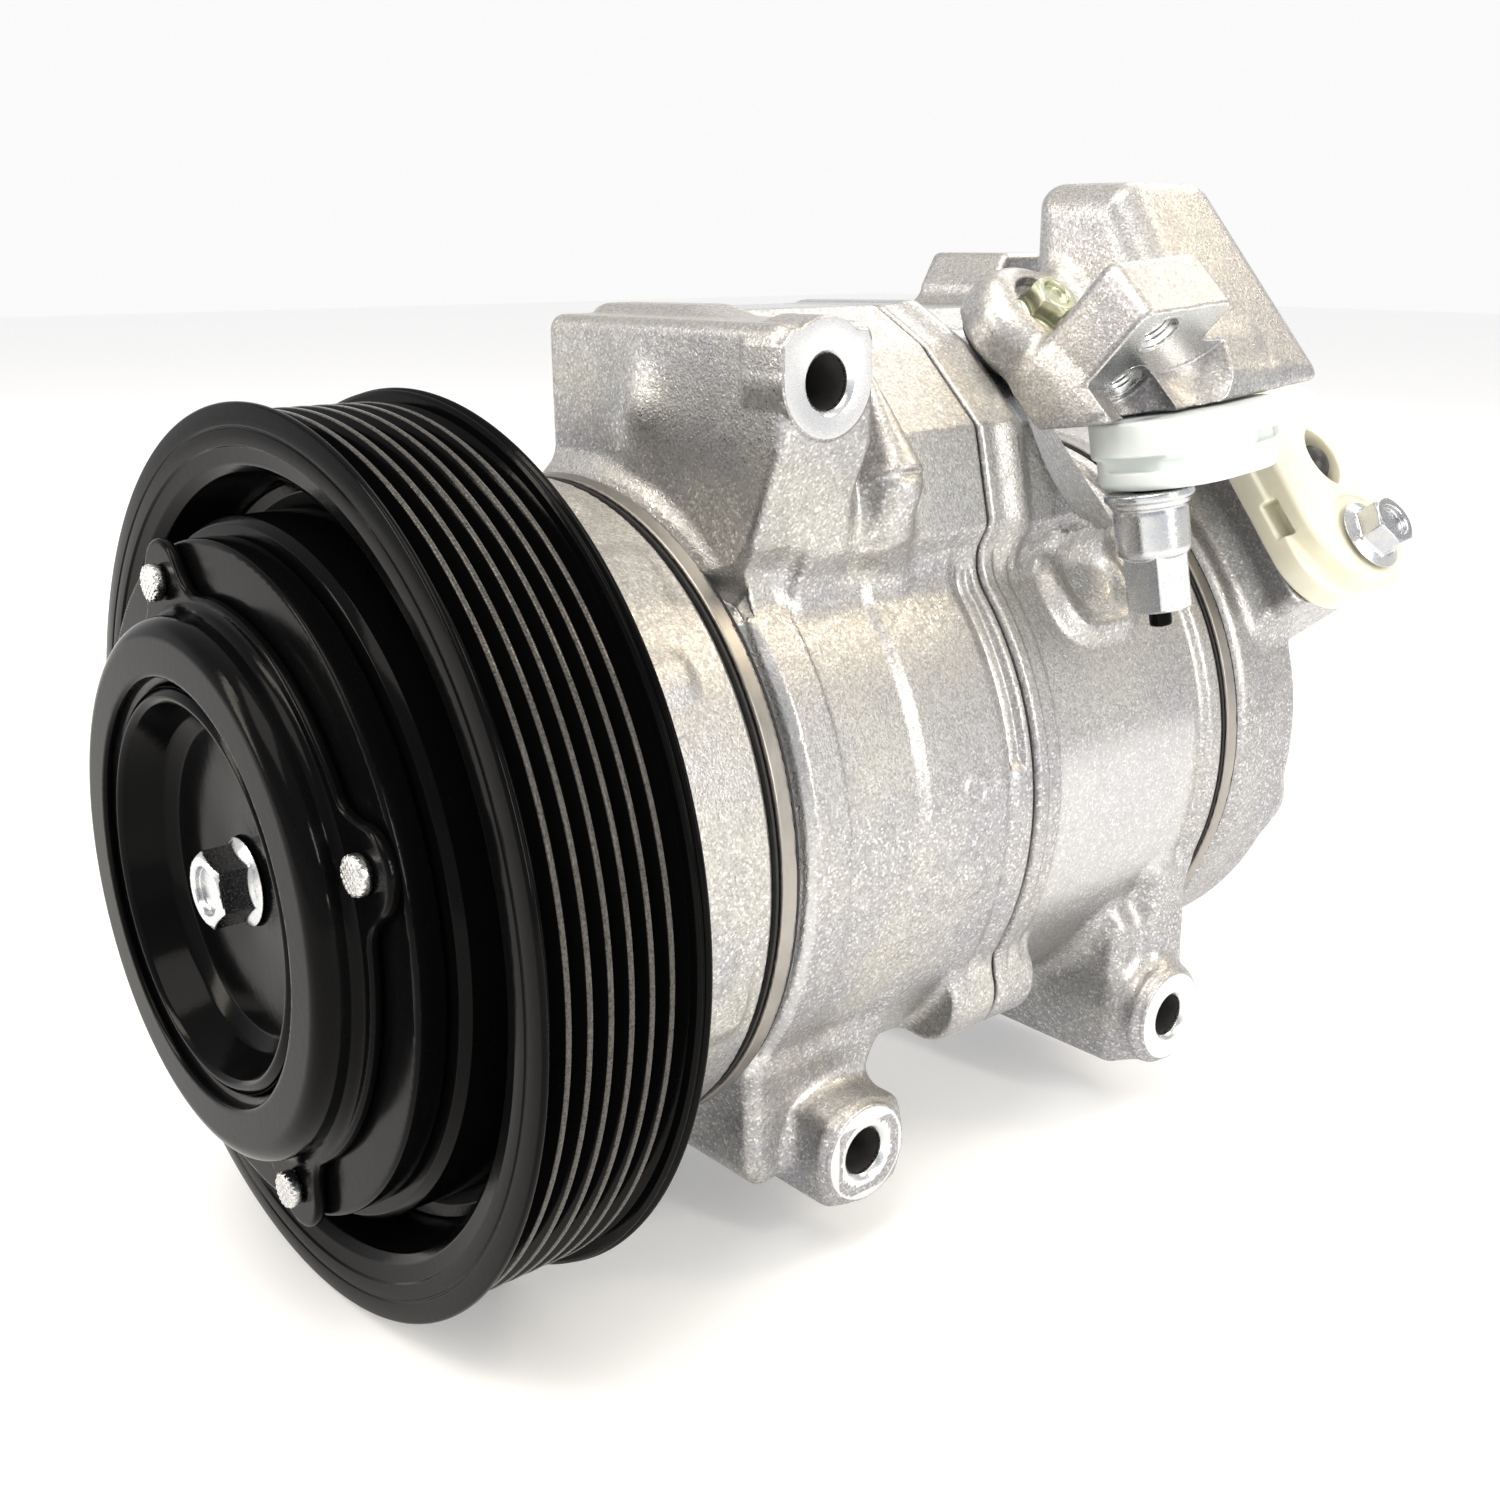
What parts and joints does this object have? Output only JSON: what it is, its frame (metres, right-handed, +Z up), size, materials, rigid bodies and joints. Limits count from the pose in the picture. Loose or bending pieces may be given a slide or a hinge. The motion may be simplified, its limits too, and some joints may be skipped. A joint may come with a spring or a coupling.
{
  "type": "automotive air conditioning compressor",
  "caption": "Swash-plate air-conditioning compressor with a magnetic clutch, grooved belt pulley, mounting ears and capped refrigerant ports.",
  "frame": {"origin": "point of the shaft axis in the plane of the upper front mounting bore", "axes": "+Y along the shaft from the clutch to the rear housing, +X towards the mouths of the mounting bores, +Z up as mounted on the engine"},
  "size_m": [0.1553, 0.2443, 0.1877],
  "materials": {
    "black_steel": "gloss black coating",
    "cast": "sand-cast, sparkling grain",
    "copper": "enamelled winding",
    "cream_nylon": "translucent moulded",
    "gasket": "coated sheet",
    "piston_alloy": "turned",
    "rubber": "moulded",
    "steel": "ground",
    "white_nylon": "translucent moulded",
    "yellow_zinc": "yellow zinc plate",
    "zinc": "bright zinc plate"
  },
  "bodies": {
    "compressor_body": {"bearing_ball_row": "steel", "bearing_inner_race": "steel", "centre_seal": "gasket", "field_coil_can": "steel", "field_coil_winding": "copper", "front_cylinder_block": "cast", "front_gasket_inner": "gasket", "front_gasket_outer": "gasket", "front_housing": "cast", "front_shaft_bearing": "steel", "front_thrust_bearing": "steel", "front_valve_plate": "steel", "manifold_bolt": "yellow_zinc", "manifold_gasket": "gasket", "port_cap_1": "white_nylon", "port_cap_1_nut": "zinc", "port_cap_1_stud": "black_steel", "port_cap_2": "cream_nylon", "port_cap_2_bolt": "zinc", "port_plug_2": "rubber", "pulley_snap_ring": "steel", "rear_cylinder_block": "cast", "rear_gasket_inner": "gasket", "rear_gasket_outer": "gasket", "rear_housing": "cast", "rear_shaft_bearing": "steel", "rear_thrust_bearing": "steel", "rear_valve_plate": "steel", "shaft_seal": "rubber", "suction_manifold": "cast", "through_bolt_1": "zinc", "through_bolt_2": "zinc", "through_bolt_3": "zinc", "through_bolt_4": "zinc", "through_bolt_5": "zinc"},
    "pulley": {"pulley": "black_steel", "bearing_outer_race": "steel"},
    "shaft": {"drive_shaft": "steel", "swash_plate": "piston_alloy", "clutch_inner_hub": "black_steel", "clutch_centre_bolt": "zinc", "clutch_damper": "rubber"},
    "armature": {"armature_plate": "black_steel", "clutch_cup": "black_steel", "clutch_rivet_1": "zinc", "clutch_rivet_2": "zinc", "clutch_rivet_3": "zinc", "clutch_rivet_4": "zinc"},
    "piston_1": {"piston_1": "piston_alloy"},
    "piston_2": {"piston_2": "piston_alloy"},
    "piston_3": {"piston_3": "piston_alloy"},
    "piston_4": {"piston_4": "piston_alloy"},
    "piston_5": {"piston_5": "piston_alloy"}
  },
  "joints": [
    {"name": "pulley_spin", "type": "hinge", "parent": "compressor_body", "child": "pulley", "pos_m": [0, -0.0574, 0], "axis": [0, 1, 0], "continuous": true},
    {"name": "shaft_spin", "type": "hinge", "parent": "compressor_body", "child": "shaft", "pos_m": [0, -0.071, 0], "axis": [0, 1, 0], "continuous": true},
    {"name": "armature_slide", "type": "slide", "parent": "shaft", "child": "armature", "axis": [0, 1, 0], "range_m": [0, 0.0005], "stiffness_N_per_m": 20000},
    {"name": "piston_1_slide", "type": "slide", "parent": "compressor_body", "child": "piston_1", "axis": [0, 1, 0], "range_m": [-0.0105, 0.0105]},
    {"name": "piston_2_slide", "type": "slide", "parent": "compressor_body", "child": "piston_2", "axis": [0, 1, 0], "range_m": [-0.0105, 0.0105]},
    {"name": "piston_3_slide", "type": "slide", "parent": "compressor_body", "child": "piston_3", "axis": [0, 1, 0], "range_m": [-0.0105, 0.0105]},
    {"name": "piston_4_slide", "type": "slide", "parent": "compressor_body", "child": "piston_4", "axis": [0, 1, 0], "range_m": [-0.0105, 0.0105]},
    {"name": "piston_5_slide", "type": "slide", "parent": "compressor_body", "child": "piston_5", "axis": [0, 1, 0], "range_m": [-0.0105, 0.0105]}
  ]
}
